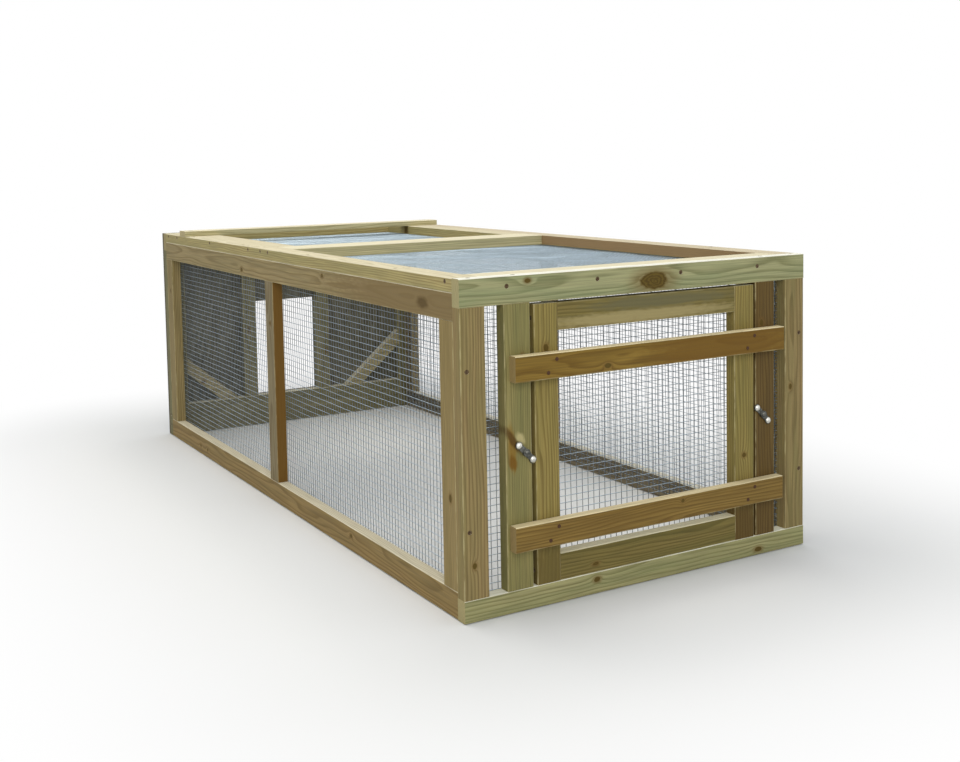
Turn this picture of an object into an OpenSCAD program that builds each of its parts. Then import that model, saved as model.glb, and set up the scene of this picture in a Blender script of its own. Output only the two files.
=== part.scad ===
// Duck run: a timber frame of five screwed panels with wire mesh inside them.
// The front panel has a lift-out door held by two turn buttons, and the rear
// panel is boarded and has a pop-hole. The run has no floor.
// X runs across the run, Y from the door to the rear, Z up from the ground.
// The origin is the middle of the ground under the run, door battens included.

/* [Run] */
// Length of the run, from the front panel's face to the rear board's face
frame_l = 1800; // [1300:10:2600]
// Width of the run
frame_w = 800; // [740:10:1200]
// Height of the run, without the batten on its roof
frame_h = 600; // [560:10:900]
// Distance from the front face to the centre of the middle stiles
middle_at = 918; // [600:2:1100]

/* [Timber] */
// Width of the frame timbers
rail_w = 50; // [44:1:56]
// Width of the front panel's bottom rail
front_sill_w = 40; // [36:1:50]
// Thickness of the frame timbers
timber_t = 25; // [22:0.5:28]
// Planed-off corner along each timber
edge_c = 1.2; // [0.5:0.1:2]

/* [Door] */
// Width of the mesh gap between the left post and its jamb
left_gap_w = 38; // [20:1:60]
// Width of the mesh gap between the right post and its jamb
right_gap_w = 30; // [20:1:60]
// Gap between the door and the left jamb
left_door_gap = 8; // [3:0.5:10]
// Gap between the door and the right jamb
right_door_gap = 5; // [3:0.5:8]
// Gap between the door and the top rail
door_top_gap = 4; // [3:0.5:12]
// Width of the stiles and rails of the door
door_rail_w = 50; // [44:1:56]
// Width of the jamb to the left of the door
left_jamb_w = 54; // [48:1:60]
// Width of the jamb to the right of the door
right_jamb_w = 50; // [44:1:56]
// Width of the two battens across the door
batten_w = 46; // [38:1:50]
// Thickness of the two battens
batten_t = 20; // [16:0.5:24]
// How far the upper batten laps over the left jamb
upper_left_lap = 44; // [35:1:50]
// How far the upper batten reaches past the right jamb's inner edge
upper_right_lap = 57; // [35:1:62]
// How far the lower batten laps over the left jamb
lower_left_lap = 48; // [35:1:50]
// How far the lower batten reaches past the right jamb's inner edge
lower_right_lap = 53; // [35:1:62]
// Height of the upper batten's middle above the ground
upper_batten_at = 437; // [400:1:450]
// Height of the lower batten's middle above the ground
lower_batten_at = 136; // [130:1:180]

/* [Turn buttons] */
// Height of the turn buttons above the ground
button_at = 285; // [240:1:330]
// Distance from a button's pivot to the middle of its wing tip
button_arm = 20; // [18:0.5:24]
// Radius of a button's wing tips
wing_r = 7; // [5:0.5:8]
// Thickness of a button's wings
wing_t = 2.5; // [2:0.1:3.5]
// Height of the domed wing tips over the wings
dome_h = 4; // [2.5:0.5:5]
// Distance from a dome's foot to the edge of the wing
dome_in = 0.8; // [0.4:0.1:1.5]
// Radius of the boss round a button's pivot
boss_r = 7; // [6:0.5:8]
// Height of the boss over the jamb
boss_h = 6; // [5:0.5:8]

/* [Rear panel] */
// Thickness of the rear board
board_t = 12; // [9:1:18]
// Height of the rear panel's sill
sill_h = 90; // [70:1:100]
// Width of the pop-hole
pop_w = 200; // [180:2:300]
// Height of the pop-hole
pop_h = 288; // [240:2:330]
// How far the pop-hole lies to the right of the run's middle
pop_shift = -33; // [-60:1:60]
// Width of the battens beside the pop-hole
pop_batten_w = 40; // [30:1:45]
// Width of the corner braces
brace_w = 35; // [28:1:40]
// Distance along the sill from the left batten to the left brace's middle
left_brace_in = 47; // [34:1:60]
// Reach of the left corner brace up the post
left_brace_h = 112; // [90:1:150]
// Distance along the sill from the right batten to the right brace's middle
right_brace_in = 83; // [34:1:100]
// Reach of the right corner brace up the post
right_brace_h = 137; // [90:1:180]

/* [Roof] */
// Thickness of the batten that lies across the roof
top_batten_t = 15; // [12:0.5:20]
// Width of the batten that lies across the roof
top_batten_w = 50; // [40:1:60]
// Distance from the rear face to that batten's front edge
top_batten_at = 228; // [120:2:400]

/* [Mesh] */
// Thickness of the mesh sheets
net_t = 1.6; // [1:0.1:2.4]
// Width of the wires
wire_w = 3; // [2:0.5:4]
// Distance from a sheet's edge to the edge of the panel behind it
net_inset = 12; // [8:1:16]
// Widest gap between two wires, across and along every sheet
net_gap = 93; // [88:1:120]

/* [Fasteners] */
// Length of the screws that hold the timbers together end to side
frame_screw_l = 80; // [70:1:90]
// Length of the screws that hold one panel to the next
panel_screw_l = 60; // [50:1:65]
// Length of the screws in the rear board and in the batten on the roof
board_screw_l = 30; // [25:1:34]
// Radius of the frame and panel screws
screw_r = 2.25; // [1.75:0.25:2.5]
// Radius of the frame and panel screws' heads
screw_head_r = 4.25; // [4:0.25:5]
// Height of the straight rim of those heads
head_rim = 0.3; // [0.1:0.1:0.6]
// Depth of the screw heads below the timber
head_sink = 0.4; // [0.2:0.1:0.8]
// Length of the nails in the door battens
nail_l = 40; // [36:1:42]
// Radius of the batten nails
nail_r = 1.5; // [1:0.1:1.8]
// Sideways distance between the two nails at a batten's end
nail_apart = 18; // [10:1:26]
// Radius of the nail heads
nail_head_r = 3.5; // [2.5:0.1:4]
// Height of the nail heads over the batten
nail_head_h = 1; // [0.5:0.1:1.4]
// Distance of the panel screws from the ends of the posts
corner_screw_in = 160; // [130:1:170]
// Distance of the roof frame's screws from its top, and of the end panels'
// screws in it from its underside
roof_screw_in = 7; // [5:0.5:8]
// Length of the screws that the turn buttons turn on
pivot_l = 27; // [20:1:29]
// Radius of the screws that the turn buttons turn on
pivot_r = 2; // [1.5:0.25:3]
// Radius of those screws' domed heads
pivot_head_r = 4.5; // [3.5:0.25:6]
// Height of those screws' domed heads
pivot_head_h = 2.6; // [1.5:0.1:3.5]

/* [Hidden] */
$fn = 32;

// Clearance round a screw or nail in its hole
fit = 0.05;
// Clearance between a part that moves and the face it rests on
seat = 0.3;
// Clearance between a turn button at rest and the edge of the door
button_clear = 0.6;
// Sideways distance between a screw and the line of one that crosses it
stagger = 20;
// Distance between a sheet of mesh and the timber beside its edge
mesh_clear = 1;

// Heights and outer faces
top = frame_h;
x0 = -frame_w/2;
x1 = frame_w/2;
y0 = -(frame_l - batten_t - nail_head_h - seat)/2;
y1 = y0 + frame_l;
roof_z = top - timber_t;
// Inner faces of the front panel and the rear panel
front_in = y0 + timber_t;
rear_in = y1 - board_t - timber_t;
middle_y = y0 + middle_at;

// The jambs' left edges, and the door between the jambs
jamb_x = [x0 + rail_w + left_gap_w, x1 - rail_w - right_gap_w - right_jamb_w];
jamb_in_x = [jamb_x[0] + left_jamb_w, jamb_x[1]];
door_x = [jamb_in_x[0] + left_door_gap, jamb_in_x[1] - right_door_gap];
door_z = [front_sill_w + seat, top - rail_w - door_top_gap];
jamb_mid = [jamb_x[0] + left_jamb_w/2, jamb_x[1] + right_jamb_w/2];
upper_batten_x = [jamb_in_x[0] - upper_left_lap, jamb_in_x[1] + upper_right_lap];
lower_batten_x = [jamb_in_x[0] - lower_left_lap, jamb_in_x[1] + lower_right_lap];
// The door stands just proud of the jambs, so its battens clear them
door_y = [y0 - seat, front_in - seat];
batten_front = door_y[0] - batten_t;
button_back = door_y[0] - seat;

// At rest a button slants at 45 degrees, just clear of the door
button_reach_x = button_arm*cos(45) + wing_r;
button_x = [
  door_x[0] - button_reach_x - button_clear,
  door_x[1] + button_reach_x + button_clear
];

// Pop-hole
pop_x = [pop_shift - pop_w/2, pop_shift + pop_w/2];

// Directions that a screw is driven in
DOWN = [0, 0, 0];
UP = [180, 0, 0];
BACK = [90, 0, 0];
FORWARD = [-90, 0, 0];
RIGHT = [0, -90, 0];
LEFT = [0, 90, 0];

// Points evenly spread from a to b, both ends included
function spread(a, b, n) = [for (i = [0:n - 1]) a + (b - a)*i/(n - 1)];

// Stiles of the side panels, by their centres
stile_y = [front_in + rail_w/2, middle_y, rear_in - rail_w/2];
// Cross members of the roof: front rail, cross bar, second bar and rear rail
roof_bar_y = [stile_y[0], stile_y[1], stile_y[1] + rail_w, stile_y[2]];
// Its inner rails run from the second bar to the rear rail
inner_rail_y = [roof_bar_y[2] + rail_w/2, roof_bar_y[3] - rail_w/2];
inner_rail_screw_y =
  spread(inner_rail_y[0] + 3*stagger, inner_rail_y[1] - 3*stagger, 3);
top_batten_y = [y1 - top_batten_at, y1 - top_batten_at + top_batten_w];
top_batten_mid = (top_batten_y[0] + top_batten_y[1])/2;
side_mid_x = [x0 + timber_t/2, x1 - timber_t/2];
post_mid_x = [x0 + rail_w/2, x1 - rail_w/2];
front_mid_y = y0 + timber_t/2;
rear_mid_y = rear_in + timber_t/2;
roof_frame_screw_z = top - roof_screw_in;
roof_panel_screw_z = roof_z + roof_screw_in;

// Each screw is a point on the surface and the direction it goes in
front_frame_at = [
  for (x = concat(post_mid_x, jamb_mid))
    for (end = [[top, DOWN], [0, UP]]) [[x, front_mid_y, end[0]], end[1]]
];
side_frame_at = [
  for (x = side_mid_x)
    for (y = stile_y)
      for (end = [[roof_z, DOWN], [0, UP]]) [[x, y, end[0]], end[1]]
];
rear_frame_at = concat(
  [for (x = post_mid_x) [[x, rear_mid_y, top], DOWN]],
  [for (side = [[x0, RIGHT], [x1, LEFT]])
    for (z = [sill_h/3, 2*sill_h/3]) [[side[0], rear_mid_y, z], side[1]]]
);
roof_frame_at = [
  for (side = [[x0, RIGHT], [x1, LEFT]])
    for (y = concat(roof_bar_y, inner_rail_screw_y))
      [[side[0], y, roof_frame_screw_z], side[1]]
];
post_screw_z = [corner_screw_in, top - corner_screw_in];
roof_screw_x = spread(jamb_mid[0] - stagger, jamb_mid[1] - stagger, 4);
front_panel_at = concat(
  [for (x = side_mid_x) for (z = post_screw_z) [[x, y0, z], BACK]],
  [for (x = roof_screw_x) [[x, y0, roof_panel_screw_z], BACK]]
);
rear_panel_at = concat(
  [for (x = side_mid_x) for (z = post_screw_z) [[x, y1, z], FORWARD]],
  [for (x = roof_screw_x) [[x, y1, roof_panel_screw_z], FORWARD]]
);
// The roof is held down at the quarter points between the stiles
roof_hold_at = [
  for (x = side_mid_x)
    for (i = [0:1])
      for (t = [1/4, 3/4])
        [[x, stile_y[i] + (stile_y[i + 1] - stile_y[i])*t, top], DOWN]
];
top_batten_screws_at = [
  for (x = post_mid_x)
    for (s = [-1, 1])
      [[x, top_batten_mid + s*top_batten_w/4, top + top_batten_t], DOWN]
];
pop_batten_mid = [pop_x[0] - pop_batten_w/2, pop_x[1] + pop_batten_w/2];
board_inner_x = spread(x0 + rail_w + stagger, x1 - rail_w - stagger, 4);
board_post_x = [x0 + rail_w - stagger/2, x1 - rail_w + stagger/2];
// Each corner brace as its side and its reaches along the sill and the post
left_brace = [
  -1,
  pop_x[0] - pop_batten_w - left_brace_in - (x0 + rail_w),
  left_brace_h
];
right_brace = [
  1,
  x1 - rail_w - (pop_x[1] + pop_batten_w + right_brace_in),
  right_brace_h
];
// A point on a brace's middle, at t from the sill (0) to the post (1)
function brace_point(brace, t) = [
  brace[0]*(frame_w/2 - rail_w - brace[1]*(1 - t)),
  sill_h + brace[2]*t
];
brace_screw_points = [
  for (brace = [left_brace, right_brace])
    for (t = [0.35, 0.65]) brace_point(brace, t)
];
rear_board_at = concat(
  [for (x = board_post_x)
    for (z = spread(sill_h + stagger, top - rail_w - 2*stagger, 3))
      [[x, y1, z], FORWARD]],
  [for (x = board_inner_x) [[x, y1, sill_h/2], FORWARD]],
  [for (x = board_inner_x)
    [[x + stagger, y1, top - rail_w + stagger/2], FORWARD]],
  [for (x = pop_batten_mid) for (z = [sill_h + pop_h/3, sill_h + pop_h])
    [[x, y1, z], FORWARD]],
  [for (p = brace_screw_points) [[p[0], y1, p[1]], FORWARD]]
);
door_screws_at = [
  for (side = [[door_x[0], RIGHT], [door_x[1], LEFT]])
    for (z = [door_z[0] + door_rail_w/2, door_z[1] - door_rail_w/2])
      [[side[0], (door_y[0] + door_y[1])/2, z], side[1]]
];
door_stile_mid = [door_x[0] + door_rail_w/2, door_x[1] - door_rail_w/2];
// Two nails, set on a slant, at each end of each batten
nails_at = [
  for (x = door_stile_mid)
    for (z = [upper_batten_at, lower_batten_at])
      for (s = [-1, 1])
        [[x + s*nail_apart/2, batten_front, z + s*batten_w/4], BACK]
];
button_screws_at = [
  for (x = button_x) [[x, button_back - boss_h - fit, button_at], BACK]
];

// A timber between two corners, with planed edges along X, Y or Z
module section(w, h) {
  c = edge_c;
  polygon([
    [c, 0], [w - c, 0], [w, c], [w, h - c],
    [w - c, h], [c, h], [0, h - c], [0, c]
  ]);
}

module timber_x(a, b) {
  translate(a)
    rotate([90, 0, 90])
      linear_extrude(b[0] - a[0]) section(b[1] - a[1], b[2] - a[2]);
}

module timber_y(a, b) {
  translate([a[0], b[1], a[2]])
    rotate([90, 0, 0])
      linear_extrude(b[1] - a[1]) section(b[0] - a[0], b[2] - a[2]);
}

module timber_z(a, b) {
  translate(a)
    linear_extrude(b[2] - a[2]) section(b[0] - a[0], b[1] - a[1]);
}

// A countersunk screw, its head at the origin and its point down
module screw_shape(l, r, head_r, grow) {
  neck = head_sink + head_rim + head_r - r;
  rotate_extrude()
    polygon([
      [0, grow > 0 ? 1 : -head_sink],
      [head_r + grow, grow > 0 ? 1 : -head_sink],
      [head_r + grow, -head_sink - head_rim],
      [r + grow, -neck],
      [r + grow, -l + 2*r],
      [0, -l - grow]
    ]);
}

// The cross in a screw's head
module cross_recess(head_r) {
  for (a = [0, 90])
    rotate([0, 0, a])
      translate([-head_r*0.55, -head_r*0.1, -head_sink - head_r*0.3])
        cube([head_r*1.1, head_r*0.2, head_r*0.6]);
}

module screws(at, l) {
  for (s = at)
    translate(s[0])
      rotate(s[1])
        difference() {
          screw_shape(l, screw_r, screw_head_r, 0);
          cross_recess(screw_head_r);
        }
}

module screw_holes(at, l) {
  for (s = at)
    translate(s[0]) rotate(s[1]) screw_shape(l, screw_r, screw_head_r, fit);
}

// A round wire nail, its head lying on the surface
module nail_shape(grow) {
  rotate_extrude()
    polygon([
      [0, nail_head_h],
      [nail_head_r*0.8, nail_head_h],
      [nail_head_r, nail_head_h*0.6],
      [nail_head_r, 0],
      [nail_r + grow, 0],
      [nail_r + grow, -nail_l + 3*nail_r],
      [0, -nail_l - grow]
    ]);
}

module nail_holes() {
  for (s = nails_at) translate(s[0]) rotate(s[1]) nail_shape(fit);
}

// The screw that a turn button turns on, with a domed head
module pivot_shape(grow) {
  rotate_extrude()
    polygon(concat(
      [for (a = [90:-15:15])
        [pivot_head_r*cos(a), pivot_head_h*sin(a)]],
      [
        [pivot_head_r, 0],
        [pivot_r + grow, 0],
        [pivot_r + grow, -pivot_l + 2*pivot_r],
        [0, -pivot_l - grow]
      ]
    ));
}

// A turn button at rest, slanting from upper left to lower right
module turn_button(x) {
  translate([x, button_back, button_at])
    rotate([0, 45, 0])
      rotate([90, 0, 0])
        difference() {
          union() {
            linear_extrude(wing_t)
              union() {
                square([2*button_arm, 1.5*wing_r], center = true);
                for (s = [-1, 1]) translate([s*button_arm, 0]) circle(wing_r);
              }
            cylinder(r = boss_r, h = boss_h);
            for (s = [-1, 1])
              translate([s*button_arm, 0, 0])
                intersection() {
                  cylinder(r = wing_r - dome_in, h = 3*wing_r);
                  translate([0, 0, wing_t + dome_h - wing_r]) sphere(wing_r);
                }
          }
          translate([0, 0, -boss_h])
            cylinder(r = pivot_r + fit, h = 3*boss_h);
        }
}

// A flat sheet of mesh between two corners of a plane, cut into even gaps
module net(w, h) {
  nx = ceil((w - wire_w)/(net_gap + wire_w));
  ny = ceil((h - wire_w)/(net_gap + wire_w));
  gap_w = (w - wire_w)/nx - wire_w;
  gap_h = (h - wire_w)/ny - wire_w;
  linear_extrude(net_t)
    difference() {
      square([w, h]);
      for (i = [0:nx - 1])
        for (j = [0:ny - 1])
          translate([wire_w + i*(gap_w + wire_w), wire_w + j*(gap_h + wire_w)])
            square([gap_w, gap_h]);
    }
}

// A sheet lying on a face that looks along Y, from a to b in X and Z
module net_xz(a, b, y) {
  translate([a[0], y + net_t, a[1]])
    rotate([90, 0, 0]) net(b[0] - a[0], b[1] - a[1]);
}

// A sheet lying on a face that looks along X, from a to b in Y and Z
module net_yz(a, b, x) {
  translate([x, a[0], a[1]])
    rotate([90, 0, 90]) net(b[0] - a[0], b[1] - a[1]);
}

// Front panel
wood_front = [0.56, 0.52, 0.33];

module front_top_rail() {
  color(wood_front)
    difference() {
      timber_x([x0, y0, top - rail_w], [x1, front_in, top]);
      screw_holes(front_frame_at, frame_screw_l);
      screw_holes(front_panel_at, panel_screw_l);
    }
}

module front_bottom_rail() {
  color(wood_front)
    difference() {
      timber_x([x0, y0, 0], [x1, front_in, front_sill_w]);
      screw_holes(front_frame_at, frame_screw_l);
    }
}

module front_upright(x, w) {
  color(wood_front)
    difference() {
      timber_z([x, y0, front_sill_w], [x + w, front_in, top - rail_w]);
      screw_holes(front_frame_at, frame_screw_l);
      screw_holes(front_panel_at, panel_screw_l);
      for (s = button_screws_at)
        translate(s[0]) rotate(s[1]) pivot_shape(fit);
    }
}

module front_left_post() { front_upright(x0, rail_w); }
module front_right_post() { front_upright(x1 - rail_w, rail_w); }
module door_left_jamb() { front_upright(jamb_x[0], left_jamb_w); }
module door_right_jamb() { front_upright(jamb_x[1], right_jamb_w); }

module front_left_mesh() {
  color("silver")
    net_xz([x0 + timber_t + mesh_clear, net_inset],
           [jamb_mid[0], roof_z - net_inset], front_in);
}

module front_right_mesh() {
  color("silver")
    net_xz([jamb_mid[1], net_inset],
           [x1 - timber_t - mesh_clear, roof_z - net_inset], front_in);
}

// Door
wood_door = [0.50, 0.45, 0.24];
wood_batten = [0.60, 0.45, 0.21];

module door_stile(x) {
  color(wood_door)
    difference() {
      timber_z([x, door_y[0], door_z[0]],
               [x + door_rail_w, door_y[1], door_z[1]]);
      screw_holes(door_screws_at, frame_screw_l);
      nail_holes();
    }
}

module door_left_stile() { door_stile(door_x[0]); }
module door_right_stile() { door_stile(door_x[1] - door_rail_w); }

module door_rail(z) {
  color(wood_door)
    difference() {
      timber_x([door_x[0] + door_rail_w, door_y[0], z],
               [door_x[1] - door_rail_w, door_y[1], z + door_rail_w]);
      screw_holes(door_screws_at, frame_screw_l);
    }
}

module door_top_rail() { door_rail(door_z[1] - door_rail_w); }
module door_bottom_rail() { door_rail(door_z[0]); }

module door_batten(x, z) {
  color(wood_batten)
    difference() {
      timber_x([x[0], batten_front, z - batten_w/2],
               [x[1], door_y[0], z + batten_w/2]);
      nail_holes();
    }
}

module door_upper_batten() { door_batten(upper_batten_x, upper_batten_at); }
module door_lower_batten() { door_batten(lower_batten_x, lower_batten_at); }

module door_mesh() {
  color("silver")
    net_xz([door_x[0] + net_inset, door_z[0] + net_inset],
           [door_x[1] - net_inset, door_z[1] - net_inset], door_y[1]);
}

module batten_nails() {
  color("dimgray")
    for (s = nails_at) translate(s[0]) rotate(s[1]) nail_shape(0);
}

module door_screws() {
  color("dimgray") screws(door_screws_at, frame_screw_l);
}

// Side panels
wood_side = [0.58, 0.50, 0.31];

module side_rail(x, z) {
  color(wood_side)
    difference() {
      timber_y([x, front_in, z], [x + timber_t, rear_in, z + rail_w]);
      screw_holes(side_frame_at, frame_screw_l);
      screw_holes(roof_hold_at, panel_screw_l);
    }
}

module side_stile(x, y) {
  color(wood_side)
    difference() {
      timber_z([x, y - rail_w/2, rail_w],
               [x + timber_t, y + rail_w/2, roof_z - rail_w]);
      screw_holes(side_frame_at, frame_screw_l);
      screw_holes(front_panel_at, panel_screw_l);
      screw_holes(rear_panel_at, panel_screw_l + board_t);
    }
}

module side_mesh(x) {
  color("silver")
    net_yz([front_in + net_inset, net_inset],
           [rear_in - net_inset, roof_z - net_inset], x);
}

module left_top_rail() { side_rail(x0, roof_z - rail_w); }
module left_bottom_rail() { side_rail(x0, 0); }
module left_front_stile() { side_stile(x0, stile_y[0]); }
module left_middle_stile() { side_stile(x0, stile_y[1]); }
module left_rear_stile() { side_stile(x0, stile_y[2]); }
module left_mesh() { side_mesh(x0 + timber_t); }
module right_top_rail() { side_rail(x1 - timber_t, roof_z - rail_w); }
module right_bottom_rail() { side_rail(x1 - timber_t, 0); }
module right_front_stile() { side_stile(x1 - timber_t, stile_y[0]); }
module right_middle_stile() { side_stile(x1 - timber_t, stile_y[1]); }
module right_rear_stile() { side_stile(x1 - timber_t, stile_y[2]); }
module right_mesh() { side_mesh(x1 - timber_t - net_t); }

// Rear panel
wood_rear = [0.42, 0.39, 0.27];
board_grey = [0.36, 0.37, 0.34];

module rear_holes() {
  screw_holes(rear_frame_at, frame_screw_l);
  screw_holes(rear_panel_at, panel_screw_l + board_t);
  screw_holes(rear_board_at, board_screw_l);
}

module rear_top_rail() {
  color(wood_rear)
    difference() {
      timber_x([x0, rear_in, top - rail_w], [x1, rear_in + timber_t, top]);
      rear_holes();
    }
}

module rear_sill() {
  color(wood_rear)
    difference() {
      timber_x([x0 + rail_w, rear_in, 0],
               [x1 - rail_w, rear_in + timber_t, sill_h]);
      rear_holes();
    }
}

module rear_post(x) {
  color(wood_rear)
    difference() {
      timber_z([x, rear_in, 0], [x + rail_w, rear_in + timber_t, top - rail_w]);
      rear_holes();
    }
}

module rear_left_post() { rear_post(x0); }
module rear_right_post() { rear_post(x1 - rail_w); }

module rear_board() {
  color(board_grey)
    difference() {
      translate([x0, y1 - board_t, 0]) cube([frame_w, board_t, top]);
      translate([pop_x[0], y1 - 2*board_t, sill_h])
        cube([pop_w, 3*board_t, pop_h]);
      screw_holes(rear_panel_at, panel_screw_l + board_t);
      screw_holes(rear_board_at, board_screw_l);
    }
}

module pop_batten(x) {
  color(wood_rear)
    difference() {
      timber_z([x, rear_in, sill_h],
               [x + pop_batten_w, rear_in + timber_t, top - rail_w]);
      screw_holes(rear_board_at, board_screw_l);
    }
}

module pop_left_batten() { pop_batten(pop_x[0] - pop_batten_w); }
module pop_right_batten() { pop_batten(pop_x[1]); }

// A brace across a lower corner, cut off flush with the sill and the post
module rear_brace(brace) {
  a = brace_point(brace, 0);
  b = brace_point(brace, 1);
  reach = norm(b - a);
  color(wood_rear)
    difference() {
      translate([0, rear_in + timber_t, 0])
        rotate([90, 0, 0])
          linear_extrude(timber_t)
            intersection() {
              translate([brace[0] > 0 ? 0 : x0 + rail_w, sill_h])
                square([frame_w/2 - rail_w, top]);
              translate(a)
                rotate(atan2(b[1] - a[1], b[0] - a[0]))
                  translate([-brace_w, -brace_w/2])
                    square([reach + 2*brace_w, brace_w]);
            }
      screw_holes(rear_board_at, board_screw_l);
    }
}

module rear_left_brace() { rear_brace(left_brace); }
module rear_right_brace() { rear_brace(right_brace); }

// Roof frame
wood_roof = [0.66, 0.60, 0.42];

module roof_side_rail(x) {
  color(wood_roof)
    difference() {
      timber_y([x, front_in, roof_z], [x + rail_w, rear_in, top]);
      screw_holes(roof_frame_at, frame_screw_l);
      screw_holes(roof_hold_at, panel_screw_l);
      screw_holes(top_batten_screws_at, board_screw_l);
    }
}

module roof_cross_rail(y) {
  color(wood_roof)
    difference() {
      timber_x([x0 + rail_w, y - rail_w/2, roof_z],
               [x1 - rail_w, y + rail_w/2, top]);
      screw_holes(roof_frame_at, frame_screw_l);
      screw_holes(front_panel_at, panel_screw_l);
      screw_holes(rear_panel_at, panel_screw_l + board_t);
    }
}

module roof_left_rail() { roof_side_rail(x0); }
module roof_right_rail() { roof_side_rail(x1 - rail_w); }
module roof_front_rail() { roof_cross_rail(roof_bar_y[0]); }
module roof_cross_bar() { roof_cross_rail(roof_bar_y[1]); }
module roof_second_bar() { roof_cross_rail(roof_bar_y[2]); }
module roof_rear_rail() { roof_cross_rail(roof_bar_y[3]); }

// A second rail beside each side rail, behind the cross members
module roof_inner_rail(x) {
  color(wood_roof)
    difference() {
      timber_y([x, inner_rail_y[0], roof_z], [x + rail_w, inner_rail_y[1], top]);
      screw_holes(roof_frame_at, frame_screw_l);
    }
}

module roof_left_inner_rail() { roof_inner_rail(x0 + rail_w); }
module roof_right_inner_rail() { roof_inner_rail(x1 - 2*rail_w); }

// A thin batten that lies across the side rails near the rear
module roof_top_batten() {
  color(wood_roof)
    difference() {
      timber_x([x0, top_batten_y[0], top],
               [x1, top_batten_y[1], top + top_batten_t]);
      screw_holes(top_batten_screws_at, board_screw_l);
    }
}

module roof_mesh() {
  inset_x = timber_t + net_t + seat;
  color("silver")
    translate([x0 + inset_x, front_in + net_inset, roof_z - net_t])
      net(frame_w - 2*inset_x, rear_in - front_in - 2*net_inset);
}

// Turn buttons and fasteners
module left_turn_button() { color("lightgray") turn_button(button_x[0]); }
module right_turn_button() { color("lightgray") turn_button(button_x[1]); }

module turn_button_screws() {
  color("gray")
    for (s = button_screws_at) translate(s[0]) rotate(s[1]) pivot_shape(0);
}

module front_frame_screws() {
  color("dimgray") screws(front_frame_at, frame_screw_l);
}

module side_frame_screws() {
  color("dimgray") screws(side_frame_at, frame_screw_l);
}

module rear_frame_screws() {
  color("dimgray") screws(rear_frame_at, frame_screw_l);
}

module roof_frame_screws() {
  color("dimgray") screws(roof_frame_at, frame_screw_l);
}

module front_panel_screws() {
  color("dimgray") screws(front_panel_at, panel_screw_l);
}

module rear_panel_screws() {
  color("dimgray") screws(rear_panel_at, panel_screw_l + board_t);
}

module roof_hold_screws() {
  color("dimgray") screws(roof_hold_at, panel_screw_l);
}

module top_batten_screws() {
  color("dimgray") screws(top_batten_screws_at, board_screw_l);
}

module rear_board_screws() {
  color("dimgray") screws(rear_board_at, board_screw_l);
}

front_top_rail();
front_bottom_rail();
front_left_post();
front_right_post();
door_left_jamb();
door_right_jamb();
front_left_mesh();
front_right_mesh();
door_left_stile();
door_right_stile();
door_top_rail();
door_bottom_rail();
door_upper_batten();
door_lower_batten();
door_mesh();
batten_nails();
door_screws();
left_top_rail();
left_bottom_rail();
left_front_stile();
left_middle_stile();
left_rear_stile();
left_mesh();
right_top_rail();
right_bottom_rail();
right_front_stile();
right_middle_stile();
right_rear_stile();
right_mesh();
rear_top_rail();
rear_sill();
rear_left_post();
rear_right_post();
rear_board();
pop_left_batten();
pop_right_batten();
rear_left_brace();
rear_right_brace();
roof_left_rail();
roof_right_rail();
roof_front_rail();
roof_rear_rail();
roof_cross_bar();
roof_second_bar();
roof_left_inner_rail();
roof_right_inner_rail();
roof_top_batten();
roof_mesh();
left_turn_button();
right_turn_button();
turn_button_screws();
front_frame_screws();
side_frame_screws();
rear_frame_screws();
roof_frame_screws();
front_panel_screws();
rear_panel_screws();
roof_hold_screws();
top_batten_screws();
rear_board_screws();
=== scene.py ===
import math
import random

import bpy
from mathutils import Matrix, Vector


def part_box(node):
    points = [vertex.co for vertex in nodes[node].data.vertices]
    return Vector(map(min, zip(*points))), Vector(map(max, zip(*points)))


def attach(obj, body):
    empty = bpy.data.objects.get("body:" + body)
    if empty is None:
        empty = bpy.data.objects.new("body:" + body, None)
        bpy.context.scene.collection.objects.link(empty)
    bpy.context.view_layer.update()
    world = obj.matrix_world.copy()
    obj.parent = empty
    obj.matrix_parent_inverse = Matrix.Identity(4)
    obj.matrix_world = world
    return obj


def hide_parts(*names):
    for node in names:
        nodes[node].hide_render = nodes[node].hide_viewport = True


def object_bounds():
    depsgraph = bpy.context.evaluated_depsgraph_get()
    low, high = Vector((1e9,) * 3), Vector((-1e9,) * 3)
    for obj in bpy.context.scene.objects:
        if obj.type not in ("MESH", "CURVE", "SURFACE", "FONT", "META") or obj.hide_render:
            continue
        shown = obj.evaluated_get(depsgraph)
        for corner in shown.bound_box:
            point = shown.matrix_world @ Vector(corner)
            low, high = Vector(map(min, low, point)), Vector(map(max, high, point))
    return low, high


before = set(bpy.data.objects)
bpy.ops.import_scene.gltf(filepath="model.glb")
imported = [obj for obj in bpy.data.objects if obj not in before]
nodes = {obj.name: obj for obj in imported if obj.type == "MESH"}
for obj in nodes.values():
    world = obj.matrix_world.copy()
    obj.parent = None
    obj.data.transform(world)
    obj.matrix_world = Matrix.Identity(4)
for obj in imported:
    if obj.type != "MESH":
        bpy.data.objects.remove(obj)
cad_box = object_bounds()

# The photograph's view. It is taken from the left of the door, a little above
# the run, and the picture is cropped so that the lens's axis passes above its
# middle. Places are measured from the front panel's lower left corner.
front_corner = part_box("front_bottom_rail")[0]
CAMERA_FROM_CORNER = Vector((-0.9961, -1.7922, 0.8024))
YAW = math.radians(30.52)
PITCH = math.radians(4.21)
ROLL = math.radians(1.02)
FOCAL_PIXELS = 1216.7
PICTURE_WIDTH = 960
PICTURE_HEIGHT = 762
LENS_AXIS_PIXEL = (488.7, 248.5)
SENSOR_MM = 36.0
NEAREST = 0.05
FARTHEST = 100

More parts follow.
